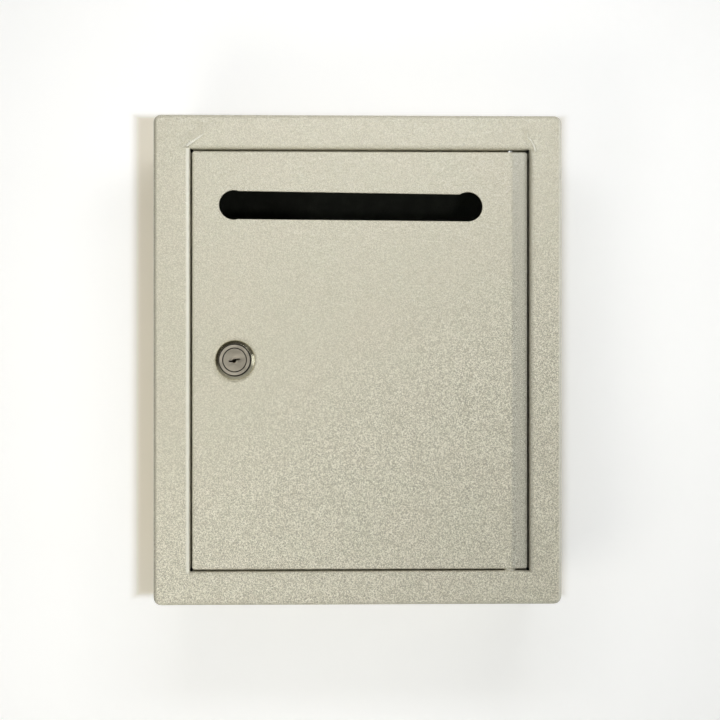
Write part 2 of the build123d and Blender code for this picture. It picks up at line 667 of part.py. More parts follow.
def make_cam_washer():
    """The washer under the cam screw's head."""
    with BuildPart() as cam_washer:
        with BuildSketch(lock_plane(CAM_BACK)):
            Circle(CAM_WASHER_RADIUS)
            Circle(CAM_WASHER_BORE, mode=Mode.SUBTRACT)
        extrude(amount=-CAM_WASHER_THICKNESS)
        fillet(edges_at(cam_washer, Axis.Y, CAM_BACK + CAM_WASHER_THICKNESS), CAM_WASHER_EDGE)
    finish(cam_washer.part, "cam_washer")


def make_cam_screw():
    """The hexagon-headed screw that holds the cam on the plug's tail."""
    head_front = CAM_BACK + CAM_WASHER_THICKNESS
    head_back = head_front + CAM_SCREW_HEAD_HEIGHT
    with BuildPart() as cam_screw:
        with BuildSketch(lock_plane(head_front)):
            RegularPolygon(CAM_SCREW_HEAD_ACROSS_FLATS / sqrt(3), 6)
        extrude(amount=-CAM_SCREW_HEAD_HEIGHT)
        chamfer(edges_at(cam_screw, Axis.Y, head_back), CAM_SCREW_HEAD_CHAMFER)
        with BuildSketch(lock_plane(head_front)):
            Circle(CAM_SCREW_RADIUS)
        extrude(amount=CAM_SCREW_LENGTH)
        chamfer(edges_at(cam_screw, Axis.Y, head_front - CAM_SCREW_LENGTH), CAM_SCREW_TIP_CHAMFER)
        with BuildSketch(lock_plane(head_back)):
            Rectangle(CAM_SCREW_RECESS_LENGTH, CAM_SCREW_RECESS_WIDTH)
            Rectangle(CAM_SCREW_RECESS_WIDTH, CAM_SCREW_RECESS_LENGTH)
        extrude(amount=CAM_SCREW_RECESS_DEPTH, mode=Mode.SUBTRACT)
    finish(cam_screw.part, "cam_screw")


def main():
    os.makedirs("parts", exist_ok=True)
    make_case_shell()
    make_back_panel()
    make_door_panel()
    make_hinge_pin("hinge_pin_upper", 1, DOOR_TOP, OPENING_TOP)
    make_hinge_pin("hinge_pin_lower", -1, DOOR_BOTTOM, OPENING_BOTTOM)
    make_hinge_spacer()
    make_lock_housing()
    make_lock_bezel()
    make_lock_washer()
    make_lock_nut()
    make_lock_plug()
    for index in range(WAFER_COUNT):
        make_wafer(index)
        make_wafer_spring(index)
    make_cam_stop_washer()
    make_lock_cam()
    make_cam_washer()
    make_cam_screw()


main()
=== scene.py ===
# The looks of a small wall-hung steel drop box: painted sheet, plated cam lock, wall, floor, lights, camera.
# Metres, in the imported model's frame: X to the right, the front faces -Y, Z up.
import json
from math import cos, exp, hypot, pi, radians, sin

import bmesh
import bpy
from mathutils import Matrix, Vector, noise

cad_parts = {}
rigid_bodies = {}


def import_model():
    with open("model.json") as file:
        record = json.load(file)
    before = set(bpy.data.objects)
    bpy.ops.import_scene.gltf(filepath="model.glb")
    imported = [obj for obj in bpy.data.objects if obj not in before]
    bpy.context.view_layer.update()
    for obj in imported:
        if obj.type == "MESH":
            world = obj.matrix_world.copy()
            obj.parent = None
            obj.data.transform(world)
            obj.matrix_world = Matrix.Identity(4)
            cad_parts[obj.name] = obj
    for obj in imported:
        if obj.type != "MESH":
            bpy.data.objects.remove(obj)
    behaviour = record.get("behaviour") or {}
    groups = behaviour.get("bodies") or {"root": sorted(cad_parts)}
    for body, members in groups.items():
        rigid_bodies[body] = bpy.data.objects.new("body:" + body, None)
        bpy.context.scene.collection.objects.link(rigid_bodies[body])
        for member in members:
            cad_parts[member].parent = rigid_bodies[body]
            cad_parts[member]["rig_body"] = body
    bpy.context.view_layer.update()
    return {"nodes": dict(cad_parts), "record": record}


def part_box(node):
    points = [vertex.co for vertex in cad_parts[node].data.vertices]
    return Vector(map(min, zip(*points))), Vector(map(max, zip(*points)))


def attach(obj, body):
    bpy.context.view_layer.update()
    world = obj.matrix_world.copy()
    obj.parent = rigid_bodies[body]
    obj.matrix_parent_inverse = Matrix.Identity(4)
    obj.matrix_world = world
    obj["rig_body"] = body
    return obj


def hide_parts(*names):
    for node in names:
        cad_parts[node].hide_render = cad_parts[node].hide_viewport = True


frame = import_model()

MM = 0.001

# ---- places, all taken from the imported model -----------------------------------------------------
case_low, case_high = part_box("case_shell")
door_low, door_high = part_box("door_panel")
plug_low, plug_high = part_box("lock_plug")
LOCK = (plug_low + plug_high) / 2
FRONT = case_low.y
SLOT_LOW, SLOT_HIGH = next(
    (Vector(o["box_m"][0]), Vector(o["box_m"][1]))
    for o in frame["record"]["physics"]["openings"]
    if o["name"] == "drop_slot"
)

# ---- driving values ------------------------------------------------------------------------------
CAMERA_DISTANCE = 550 * MM  # from the case's front
CAMERA_LEFT = 9 * MM
CAMERA_LENS = 54.0  # in millimetres, like the sensor's width
CAMERA_SENSOR = 36.0
CAMERA_AIM_RIGHT = 0.9 * MM

FLOOR_Z = -0.55
WALL_GAP = 0.5 * MM
WALL_HALF_WIDTH = 2.2
WALL_TOP = 1.6

# painted shadow on the wall: close round the case the wall is darker and doesn't glow; how far out that
# starts to fade, and ends
SHADE_LEFT = (20.0 * MM, 28.5 * MM)
SHADE_RIGHT = (12.0 * MM, 22.0 * MM)
SHADE_TOP = (14.5 * MM, 19.5 * MM)
SHADE_BOTTOM = (9.0 * MM, 15.0 * MM)
PAINTED_SHADOW_TONE = (0.96, 0.90, 0.78)

WALL_COLOUR = (0.93, 0.93, 0.935)
# the wall's glow, though it is no lamp, keeps it near white; it is off close round the case, painting the
# shadow there
WALL_GLOW = 0.35
FLOOR_COLOUR = (0.80, 0.80, 0.79)
WORLD_COLOUR = (0.050, 0.047, 0.035)
WORLD_SEEN = (0.78, 0.78, 0.79)

MIDDLE = (0.0, -0.08, 0.0)  # points near the door's front for the lights to aim at
UPPER = (0.0, -0.08, 0.05)
UPPER_RIGHT = (0.05, -0.08, 0.05)
UPPER_LEFT = (-0.03, -0.08, 0.05)
LEFT = (-0.03, -0.08, 0.0)
LOWER_LEFT = (-0.03, -0.08, -0.05)
LOWER = (0.0, -0.08, -0.05)
LIGHTS = [
    # name, place, aim, width, height, colour, power
    ("key_small", (0.095, -0.745, -0.055), MIDDLE, 0.035, 0.035, (0.97, 1.0, 1.0), 0.14),
    ("window_right", (1.300, -0.850, 0.0), MIDDLE, 0.25, 0.90, (0.96, 1.0, 1.0), 0.6),
    ("window_far_right", (1.450, -0.520, 0.0), MIDDLE, 0.30, 0.90, (0.97, 1.0, 1.0), 2.8),
    ("front_top", (0.020, -0.450, 0.260), UPPER, 0.36, 0.12, (0.97, 0.98, 1.0), 0.90),
    ("front_top_right", (0.160, -0.400, 0.220), UPPER_RIGHT, 0.14, 0.14, (1.0, 1.0, 0.94), 0.13),
    ("front_top_left", (-0.180, -0.500, 0.200), UPPER_LEFT, 0.20, 0.20, (1.0, 0.94, 0.82), 0.19),
    ("front_left", (-0.240, -0.450, -0.030), LEFT, 0.12, 0.30, (0.90, 0.97, 1.0), 0.19),
    ("front_left_low", (-0.200, -0.420, -0.200), LOWER_LEFT, 0.20, 0.20, (1.0, 0.95, 0.84), 0.50),
    ("front_low", (0.0, -0.500, -0.280), LOWER, 0.30, 0.12, (0.75, 0.90, 1.0), 0.11),
    ("behind", (0.60, 1.30, 0.70), (0.0, 0.0, 0.0), 0.90, 0.90, (1.0, 1.0, 1.0), 12.0),
]

PAINT_ROUGHNESS = 0.22
WELD_ROUGHNESS = 0.35
BACK_ROUGHNESS = 0.42
STRIP_WIDTH = 8 * MM  # of the plainer strip along the door's hinged edge, darker as painted shade
PAINT_COLOUR = (0.640, 0.608, 0.490)
PAINT_COOL = (0.632, 0.607, 0.487)
PAINT_WARM = (0.647, 0.608, 0.492)
# the hinge-side strip's colour: greyer and darker, as painted shade
STRIP_PAINTED_SHADE = (0.505, 0.486, 0.404)
# colour of painted glints on the flakes' crests
PAINTED_GLINT_COLOUR = (0.82, 0.82, 0.78)
# pale colour of painted highlights on bends and welds
PAINTED_HIGHLIGHT_COLOUR = (0.88, 0.86, 0.76)
# dark colour of painted shade in the hinge gap and on the case's left outer bend
PAINTED_SHADE_COLOUR = (0.20, 0.19, 0.14)
# painted highlights and painted shade along upright edges: how far right of an edge, half width, where it
# has faded, amount
BEND_MARK = (-2.15 * MM, 0.3 * MM, 1.4 * MM, 1.0)  # painted highlight on the border's bend beside the gap, from the door's left edge
RIM_MARK = (-0.9 * MM, 0.3 * MM, 1.3 * MM, 0.7)  # painted highlight on the case's right outer bend, from the case's right edge
GAP_MARK = (0.6 * MM, 0.4 * MM, 3.4 * MM, 0.62)  # painted shade in the hinge gap, from the door's right edge
OUTLINE_MARK = (0.7 * MM, 0.2 * MM, 1.5 * MM, 0.5)  # painted shade on the case's left outer bend, from the case's left edge
INSIDE_DARK = (0.110, 0.115, 0.092)
INSIDE_DUSTY = (0.150, 0.150, 0.125)
# near-black colour of painted shade in the lock's grooves
GROOVE_SHADE_COLOUR = (0.018, 0.014, 0.008)
GROOVES = [(5.95 * MM, 0.40 * MM), (8.0 * MM, 0.45 * MM)]  # radius and half width of the painted shade rings in the lock's grooves

ZINC = ((0.62, 0.63, 0.64), (0.42, 0.42, 0.42))  # a bright and a dull tone
CAM_STEEL = ((0.56, 0.55, 0.52), (0.36, 0.35, 0.33))
BRASS = ((0.78, 0.58, 0.28), (0.52, 0.36, 0.16))
NYLON = ((0.70, 0.68, 0.58), (0.52, 0.50, 0.40))
SPRING_STEEL = ((0.50, 0.49, 0.47), (0.30, 0.29, 0.28))
BEZEL_PLATE = ((0.66, 0.62, 0.48), (0.46, 0.43, 0.30))
HOUSING_PLATE = ((0.52, 0.475, 0.40), (0.44, 0.39, 0.33))
PLUG_PLATE = ((0.46, 0.42, 0.35), (0.36, 0.32, 0.26))
NUT_PLATE = ((0.60, 0.58, 0.53), (0.36, 0.34, 0.28))

BEZEL_STEPS = 96
BEZEL_PROFILE = [  # radius and height above the door, in millimetres, from the inner foot outwards
    (9.45, 0.0), (10.2, 0.0), (10.2, 0.7), (10.17, 1.3), (10.08, 1.75), (9.92, 2.05), (9.7, 2.25),
    (9.4, 2.45), (9.1, 2.65), (8.8, 2.86), (8.55, 3.06), (8.42, 3.12), (8.33, 3.05), (8.31, 2.8),
    (8.31, 1.3), (9.45, 1.3),
]
GRAIN_SIZE = 1.0 * MM
GRAIN_DEPTH = 0.45 * MM
CLOUD_SIZE = 22 * MM
SPECK_SIZE = 0.42 * MM
SPECK_SPREAD = (-30 * MM, 60 * MM)  # the flakes and their painted glints get stronger over this stretch, down and to the right
SPECK_AMOUNT = (0.26, 0.80)
SPECK_SLANT = 0.6  # how far down a step to the right counts
SPECK_CREST = (0.36, 0.68, -0.42, 0.58)  # noise from and to, and the brightness it adds from and to
SPECK_PALE = 0.45  # the share of painted glint colour on a crest
PLATE_DEPTH = 0.012 * MM  # of the scratches and turning rings in plated and stamped metal

CASE_WAVE = (0.10 * MM, 45 * MM, 3.0)  # height, size and seed of the sheets' waviness
DOOR_WAVE = (0.12 * MM, 60 * MM, 5.0)
LAP_WAVE = (0.5, 2.5 * MM, 7.0)  # how uneven the raised paint is along the left weld, as a share
RIDGE_WAVE = (0.5, 2.2 * MM, 11.0)  # and along the right one
BEAD_WAVE = (0.25, 1.5 * MM, 19.0)  # and how much a bead's thickness changes
FRONT_DEPTH = 2.5 * MM  # what lies further back than this keeps its shape

# heights and widths of the marks in the sheets
LAP_HEIGHT = 0.55 * MM
LAP_LEFT = 4 * MM
LAP_RIGHT = 0.6 * MM
RIDGE_HEIGHT = 0.40 * MM
RIDGE_WIDTH = 0.7 * MM
GROOVE_DEPTH = 0.26 * MM
GROOVE_WIDTH = 0.9 * MM
GROOVE_OFF = 1.4 * MM  # left of the ridge
DENT_REACH = 6 * MM
DENT_DEPTH = 0.10 * MM
DENT_WIDTH = 2.2 * MM
DENT_RIM = (2.6 * MM, 0.12 * MM, 0.5 * MM)  # radius, height and width of the crescent on its lower left
SCAR_DEPTH = 0.14 * MM
SCAR_WIDTH = 0.6 * MM
SCAR_RIM = (0.8 * MM, 0.12 * MM, 0.7 * MM)  # how far off, height and width of the ridge beside it
NICK_DEPTH = 0.12 * MM
NICK_WIDTH = 0.45 * MM

SEAM_PATCH = (9 * MM, 9 * MM)  # half sizes of the finely cut patch round each corner weld
DENT_PATCH = (5 * MM, 5 * MM)
SCAR_PATCH = (6 * MM, 6 * MM)
NICK_PATCH = (5 * MM, 4.5 * MM)
DENT_STEP = 0.4 * MM  # between the cuts
FINE_STEP = 0.5 * MM
COARSE_STEP = 9 * MM
SLOT_ROUNDING = 0.35 * MM
LEFT_WELD_WIDTH = 0.75 * MM
RIGHT_WELD_WIDTH = 0.45 * MM
BEAD_SIDES = 8
BEAD_STEPS = 6  # between two points of a bead's path
BEAD_TAPER = 0.85  # the share of its thickness that a bead loses by its end
BEAD_FLATNESS = 0.45  # its height as a share of its width


# ---- node helpers --------------------------------------------------------------------------------
def add(tree, kind, inputs=None, **settings):
    """Adds a shader node. Inputs are values or sockets by socket name or number, settings its properties."""
    made = tree.nodes.new("ShaderNode" + kind)
    for key, value in settings.items():
        setattr(made, key, value)
    for key, value in (inputs or {}).items():
        if isinstance(value, bpy.types.NodeSocket):
            tree.links.new(value, made.inputs[key])
        elif isinstance(value, tuple) and len(value) == 3 and made.inputs[key].type == "RGBA":
            made.inputs[key].default_value = (*value, 1.0)
        else:
            made.inputs[key].default_value = value
    return made


def calc(tree, operation, *values):
    """The output of a Math node."""
    return add(tree, "Math", dict(enumerate(values)), operation=operation).outputs[0]


def blend(tree, factor, first, second):
    """A colour between two others."""
    return add(tree, "Mix", {0: factor, 6: first, 7: second}, data_type="RGBA").outputs[2]


def blend_value(tree, factor, first, second):
    """A value between two others."""
    return add(tree, "Mix", {0: factor, 2: first, 3: second}, data_type="FLOAT").outputs[0]


def ramp(tree, value, low, high, to_low=0.0, to_high=1.0):
    """A value mapped smoothly from one range to another."""
    inputs = {"Value": value, "From Min": low, "From Max": high, "To Min": to_low, "To Max": to_high}
    return add(tree, "MapRange", inputs, interpolation_type="SMOOTHSTEP").outputs[0]


def fog(tree, place, size, detail=2.0, distortion=0.0):
    """Soft noise whose features are about size metres across."""
    inputs = {"Vector": place, "Scale": 1 / size, "Detail": detail, "Distortion": distortion}
    return add(tree, "TexNoise", inputs).outputs[0]


def bump(tree, height, depth):
    """A normal leaning with a height that is worth depth metres where it is 1."""
    return add(tree, "Bump", {"Height": height, "Distance": depth, "Strength": 1.0}).outputs[0]


def new_material(name):
    """An empty node material, its tree and its object coordinates."""
    made = bpy.data.materials.new(name)
    made.use_nodes = True
    made.node_tree.nodes.clear()
    return made, made.node_tree, add(made.node_tree, "TexCoord").outputs["Object"]


def surface(made, shader):
    """Connects a finished shader to a material's output."""
    add(made.node_tree, "OutputMaterial", {"Surface": shader.outputs[0]})
    return made


# ---- materials -----------------------------------------------------------------------------------
def paint_grain(tree, place):
    """Height of the wrinkled powder coat: worm-like cells a couple of millimetres apart."""
    bend = add(tree, "TexNoise", {"Vector": place, "Scale": 0.55 / GRAIN_SIZE, "Detail": 1.0}).outputs[1]
    shift = add(tree, "VectorMath", {0: bend, "Scale": 1.1 * GRAIN_SIZE}, operation="SCALE").outputs[0]
    warped = add(tree, "VectorMath", {0: place, 1: shift}, operation="ADD").outputs[0]
    cells = add(
        tree,
        "TexVoronoi",
        {"Vector": warped, "Scale": 0.8 / GRAIN_SIZE, "Smoothness": 0.7},
        feature="SMOOTH_F1",
    ).outputs["Distance"]
    worms = fog(tree, warped, GRAIN_SIZE, 1.5, 0.6)
    return calc(tree, "MULTIPLY_ADD", cells, -0.15, worms)


def flakes_and_painted_glints(tree, place, colour):
    """The coat's fine flakes with painted glints: bright crests and dull pits, stronger low on the right."""
    parts = add(tree, "SeparateXYZ", {0: place})
    down = calc(tree, "MULTIPLY", parts.outputs["Z"], -1.0)
    lean = calc(tree, "MULTIPLY_ADD", parts.outputs["X"], SPECK_SLANT, down)
    amount = ramp(tree, lean, *SPECK_SPREAD, *SPECK_AMOUNT)
    crest = ramp(tree, fog(tree, place, SPECK_SIZE, 1.0), *SPECK_CREST)
    shade = calc(tree, "MULTIPLY_ADD", crest, amount, 1.0)
    shaded = add(tree, "VectorMath", {0: colour, "Scale": shade}, operation="SCALE").outputs[0]
    # painted glints: crests blend towards a pale colour, more so low on the right
    share = calc(tree, "MULTIPLY", amount, SPECK_PALE)
    pale = calc(tree, "MULTIPLY", ramp(tree, crest, 0.1, SPECK_CREST[3]), share)
    return blend(tree, pale, shaded, PAINTED_GLINT_COLOUR)


def near_line(tree, value, line, inner, outer, amount=1.0):
    """The amount within inner of a line, fading to nothing at outer."""
    off = calc(tree, "ABSOLUTE", calc(tree, "SUBTRACT", value, line))
    return ramp(tree, off, inner, outer, amount, 0.0)


def painted_edge_light_and_shade(tree, place, colour):
    """Painted highlights and painted shade beside the door's long edges and along the case's upright front
    edges.
    """
    parts = add(tree, "SeparateXYZ", {0: place})
    x = parts.outputs["X"]
    middle = (door_low.z + door_high.z) / 2
    half = (door_high.z - door_low.z) / 2
    along = near_line(tree, parts.outputs["Z"], middle, half + 0.5 * MM, half + 2.5 * MM)
    front = ramp(tree, parts.outputs["Y"], FRONT + 1.5 * MM, FRONT + 3.5 * MM, 1.0, 0.0)

    def mark(edge, off, inner, outer, amount):
        return near_line(tree, x, edge + off, inner, outer, amount)

    # painted highlights: the border's bend left of the door, and the case's right outer bend
    bend = calc(tree, "MULTIPLY", mark(door_low.x, *BEND_MARK), along)
    rim = calc(tree, "MULTIPLY", mark(case_high.x, *RIM_MARK), front)
    # painted shade: the hinge gap beside the door's right edge, and the case's left outer bend
    gap = calc(tree, "MULTIPLY", mark(door_high.x, *GAP_MARK), along)
    outline = calc(tree, "MULTIPLY", mark(case_low.x, *OUTLINE_MARK), front)
    colour = blend(tree, calc(tree, "MAXIMUM", bend, rim), colour, PAINTED_HIGHLIGHT_COLOUR)
    return blend(tree, calc(tree, "MAXIMUM", gap, outline), colour, PAINTED_SHADE_COLOUR)


def painted(name, roughness, plain_from=None, tint=None):
    """Satin powder coat: faint clouds, wrinkles, flakes with painted glints, painted highlights and shade
    along edges. It is greyer and plainer right of plain_from, its darker colour there painted shade.
    """
    made, tree, place = new_material(name)
    clouds = fog(tree, place, CLOUD_SIZE, 4.0, 0.4)
    dust = fog(tree, place, 0.45 * MM, 1.0)
    height = calc(tree, "MULTIPLY_ADD", dust, 0.10, paint_grain(tree, place))
    colour = blend(tree, ramp(tree, clouds, 0.45, 0.75), PAINT_COLOUR, PAINT_WARM)
    colour = blend(tree, ramp(tree, clouds, 0.25, 0.50, 1.0, 0.0), colour, PAINT_COOL)
    # a tint, when given, is blended in over most of the surface; the welds get the painted highlight colour
    # this way
    if tint is not None:
        colour = blend(tree, ramp(tree, clouds, 0.2, 0.8, 0.9, 0.6), colour, tint)
    gloss = calc(tree, "ADD", ramp(tree, clouds, 0.3, 0.7, -0.03, 0.03), roughness)
    if plain_from is not None:
        across = add(tree, "SeparateXYZ", {0: place}).outputs["X"]
        # painted shade: the strip by the hinge is darker, and its wrinkles are lower
        plain = ramp(tree, across, plain_from - 0.8 * MM, plain_from + 0.8 * MM)
        colour = blend(tree, plain, colour, STRIP_PAINTED_SHADE)
        height = calc(tree, "MULTIPLY", height, ramp(tree, plain, 0.0, 1.0, 1.0, 0.55))
    # flakes with painted glints, then painted highlights and painted shade along the edges
    colour = painted_edge_light_and_shade(tree, place, flakes_and_painted_glints(tree, place, colour))
    shader = add(
        tree,
        "BsdfPrincipled",
        {
            "Base Color": colour,
            "Roughness": gloss,
            "Specular IOR Level": 0.5,
            "Normal": bump(tree, height, GRAIN_DEPTH),
        },
    )
    return surface(made, shader)


def inside_finish(name):
    """The dark colour inside the case: flat, slightly dusty."""
    made, tree, place = new_material(name)
    dust = fog(tree, place, 9 * MM, 5.0, 0.3)
    colour = blend(tree, ramp(tree, dust, 0.35, 0.75), INSIDE_DARK, INSIDE_DUSTY)
    height = fog(tree, place, 1.3 * MM, 3.0)
    shader = add(
        tree,
        "BsdfPrincipled",
        {
            "Base Color": colour,
            "Roughness": ramp(tree, dust, 0.3, 0.7, 0.72, 0.9),
            "Specular IOR Level": 0.25,
            "Normal": bump(tree, height, 0.04 * MM),
        },
    )
    return surface(made, shader)


def two_sided(name, roughness):
    """Back panel: painted where it faces the wall, dark where it faces into the case."""
    made, tree, place = new_material(name)
    facing = add(tree, "SeparateXYZ", {0: add(tree, "TexCoord").outputs["Normal"]}).outputs["Y"]
    outside = ramp(tree, facing, 0.2, 0.4)
    clouds = fog(tree, place, CLOUD_SIZE, 4.0, 0.4)
    paint = blend(tree, ramp(tree, clouds, 0.3, 0.7), PAINT_COOL, PAINT_WARM)
    dust = fog(tree, place, 9 * MM, 5.0, 0.3)
    inner_dark = blend(tree, ramp(tree, dust, 0.35, 0.75), INSIDE_DARK, INSIDE_DUSTY)
    shader = add(
        tree,
        "BsdfPrincipled",
        {
            "Base Color": blend(tree, outside, inner_dark, paint),
            "Roughness": ramp(tree, outside, 0.0, 1.0, 0.8, roughness),
            "Normal": bump(tree, paint_grain(tree, place), 0.5 * GRAIN_DEPTH),
        },
    )
    return surface(made, shader)


def lock_radius(tree, place):
    """Distance from the lock's axis."""
    parts = add(tree, "SeparateXYZ", {0: place})
    across = calc(tree, "SUBTRACT", parts.outputs["X"], LOCK.x)
    up = calc(tree, "SUBTRACT", parts.outputs["Z"], LOCK.z)
    flat = add(tree, "CombineXYZ", {"X": across, "Y": up}).outputs[0]
    return add(tree, "VectorMath", {0: flat}, operation="LENGTH").outputs["Value"]


def plated(name, colour, dark, roughness, turned=0.0, dirt=0.35):
    """Bright plating: clouds, scratches, turning rings about the lock's axis, and painted shade in its
    grooves.
    """
    made, tree, place = new_material(name)
    radius = lock_radius(tree, place)
    groove_shade = 0.0
    # painted shade: dark, non-metallic rings at the grooves between the lock's parts
    for groove, half_width in GROOVES:
        off = calc(tree, "ABSOLUTE", calc(tree, "SUBTRACT", radius, groove))
        groove_shade = calc(tree, "MAXIMUM", ramp(tree, off, 0.5 * half_width, half_width, 1.0, 0.0), groove_shade)
    clouds = fog(tree, place, 2.6 * MM, 4.0, 0.8)
    fine = fog(tree, place, 0.25 * MM, 2.0)
    tarnish = ramp(tree, clouds, 0.42, 0.75, 0.0, dirt)
    rings = add(
        tree, "TexNoise", {"W": radius, "Scale": 1 / (0.22 * MM), "Detail": 2.0},
        noise_dimensions="1D",
    ).outputs[0]
    height = calc(tree, "MULTIPLY_ADD", rings, turned, calc(tree, "MULTIPLY", fine, 0.35))
    gloss = calc(tree, "ADD", ramp(tree, clouds, 0.3, 0.75, -0.04, 0.10), roughness)
    shader = add(
        tree,
        "BsdfPrincipled",
        {
            "Base Color": blend(tree, groove_shade, blend(tree, tarnish, colour, dark), GROOVE_SHADE_COLOUR),
            "Metallic": ramp(tree, groove_shade, 0.0, 1.0, 1.0, 0.0),
            "Roughness": blend_value(tree, groove_shade, gloss, 0.8),
            "Normal": bump(tree, height, PLATE_DEPTH),
        },
    )
    return surface(made, shader)


def brushed_steel(name, colour, dark, roughness, stretch):
    """Stamped or drawn steel: streaks along one axis, mottled plating and small dull spots."""
    made, tree, place = new_material(name)
    streaked = add(tree, "Mapping", {"Vector": place, "Scale": stretch}).outputs[0]
    streaks = fog(tree, streaked, 0.35 * MM, 3.0)
    mottle = fog(tree, place, 2.2 * MM, 3.0, 0.5)
    spots = ramp(tree, fog(tree, place, 0.8 * MM, 2.0), 0.62, 0.72)
    tone = blend(tree, ramp(tree, mottle, 0.35, 0.7), colour, dark)
    shader = add(
        tree,
        "BsdfPrincipled",
        {
            "Base Color": blend(tree, calc(tree, "MULTIPLY", spots, 0.4), tone, dark),
            "Metallic": 1.0,
            "Roughness": calc(tree, "MULTIPLY_ADD", streaks, 0.25, roughness),
            "Normal": bump(tree, calc(tree, "ADD", streaks, spots), PLATE_DEPTH),
        },
    )
    return surface(made, shader)


def nylon(name):
    """Milky natural nylon, faintly stained."""
    made, tree, place = new_material(name)
    stain = fog(tree, place, 1.6 * MM, 3.0)
    shader = add(
        tree,
        "BsdfPrincipled",
        {
            "Base Color": blend(tree, ramp(tree, stain, 0.4, 0.7), *NYLON),
            "Roughness": ramp(tree, stain, 0.3, 0.7, 0.38, 0.52),
            "Subsurface Weight": 0.2,
            "Subsurface Radius": (0.0008, 0.0007, 0.0005),
            "Normal": bump(tree, fog(tree, place, 0.3 * MM, 2.0), 0.01 * MM),
        },
    )
    return surface(made, shader)


def beyond_case(tree, place):
    """0 on the wall behind the case and close round it, where the shadow is painted, 1 further out."""
    parts = add(tree, "SeparateXYZ", {0: place})
    x, z = parts.outputs["X"], parts.outputs["Z"]
    left = ramp(tree, x, case_low.x - SHADE_LEFT[1], case_low.x - SHADE_LEFT[0], 1.0, 0.0)
    right = ramp(tree, x, case_high.x + SHADE_RIGHT[0], case_high.x + SHADE_RIGHT[1])
    top = ramp(tree, z, case_high.z + SHADE_TOP[0], case_high.z + SHADE_TOP[1])
    bottom = ramp(tree, z, case_low.z - SHADE_BOTTOM[1], case_low.z - SHADE_BOTTOM[0], 1.0, 0.0)
    return calc(tree, "MAXIMUM", calc(tree, "MAXIMUM", left, right), calc(tree, "MAXIMUM", top, bottom))


def plaster(name, colour, glow=0.0, one_sided=False):
    """Pale matt wall or floor. A wall may glow a little beyond the case, and be clear from behind; close
    round the case it is darker and doesn't glow, a painted shadow.
    """
    made, tree, place = new_material(name)
    clouds = fog(tree, place, 0.18, 3.0)
    tone = blend(tree, ramp(tree, clouds, 0.3, 0.7), colour, tuple(0.975 * c for c in colour))
    glowing = 0.0
    if glow:
        # painted shadow: a darker tone and no glow close round the case
        beyond = beyond_case(tree, place)
        tone = blend(tree, beyond, PAINTED_SHADOW_TONE, tone)
        glowing = calc(tree, "MULTIPLY", beyond, glow)
    height = fog(tree, place, 6 * MM, 4.0)
    shader = add(
        tree,
        "BsdfPrincipled",
        {
            "Base Color": tone,
            "Roughness": 0.9,
            "Emission Color": (1.0, 1.0, 1.0),
            "Emission Strength": glowing,
            "Normal": bump(tree, height, 0.15 * MM),
        },
    )
    if one_sided:
        away = add(tree, "NewGeometry").outputs["Backfacing"]
        clear = add(tree, "BsdfTransparent")
        shader = add(tree, "MixShader", {0: away, 1: shader.outputs[0], 2: clear.outputs[0]})
    return surface(made, shader)


# ---- sheet-metal skins ---------------------------------------------------------------------------
def copy_sheet(node):
    """The CAD node's surface as a welded bmesh with its flat faces whole."""
    bm = bmesh.new()
    bm.from_mesh(frame["nodes"][node].data)
    bmesh.ops.remove_doubles(bm, verts=bm.verts, dist=1e-6)
    bmesh.ops.dissolve_limit(bm, angle_limit=radians(0.4), verts=bm.verts, edges=bm.edges)
    return bm


def cut_faces(bm, faces, axis, place):
    """Cuts faces where one coordinate has a value, and returns them with the new ones."""
    point, normal = Vector(), Vector()
    point[axis], normal[axis] = place, 1.0
    parts = [*faces, *{e for f in faces for e in f.edges}, *{v for f in faces for v in f.verts}]
    cut = bmesh.ops.bisect_plane(bm, geom=parts, dist=1e-7, plane_co=point, plane_no=normal)
    return [part for part in cut["geom"] if isinstance(part, bmesh.types.BMFace)]


def cut_grid(bm, centre, half, step):
    """Cuts the front faces inside a rectangle, given by its (x, z) centre and half sizes, into squares."""
    spans = [(0, centre[0] - half[0], centre[0] + half[0]), (2, centre[1] - half[1], centre[1] + half[1])]

    def overlaps(face):
        return all(
            min(v.co[axis] for v in face.verts) < high and max(v.co[axis] for v in face.verts) > low
            for axis, low, high in spans
        )

    def inside(face):
        middle = face.calc_center_median()
        return all(low < middle[axis] < high for axis, low, high in spans)

    depth = FRONT + 3 * MM
    faces = [f for f in bm.faces if f.normal.y < -0.05 and f.verts[0].co.y < depth and overlaps(f)]
    for axis, low, high in spans:
        for place in (low, high):
            faces = cut_faces(bm, faces, axis, place)
    faces = [f for f in faces if inside(f)]
    for axis, low, high in spans:
        count = round((high - low) / step)
        for k in range(1, count):
            faces = cut_faces(bm, faces, axis, low + (high - low) * k / count)


def round_edges(bm, edges, radius):
    """Rounds sharp edges in three steps."""
    bmesh.ops.bevel(
        bm, geom=edges, offset=radius, segments=3, profile=0.5, affect="EDGES", clamp_overlap=True
    )


def from_path(x, z, path):
    """Signed distance to a line through (x, z) points, plus on its right."""
    best = None
    for (x0, z0), (x1, z1) in zip(path, path[1:]):
        along = Vector((x1 - x0, z1 - z0))
        out = Vector((x - x0, z - z0))
        share = max(0.0, min(1.0, out.dot(along) / along.length_squared))
        gap = out - share * along
        side = 1.0 if out.x * along.y - out.y * along.x > 0 else -1.0
        if best is None or gap.length < abs(best):
            best = side * gap.length
    return best


def shape_front(bm, relief):
    """Moves the front faces' points towards the viewer by relief(x, z)."""
    bm.normal_update()
    for vert in bm.verts:
        if vert.co.y < FRONT + FRONT_DEPTH and vert.normal.y < -0.2:
            vert.co.y -= relief(vert.co.x, vert.co.z) * min(1.0, -1.4 * vert.normal.y)


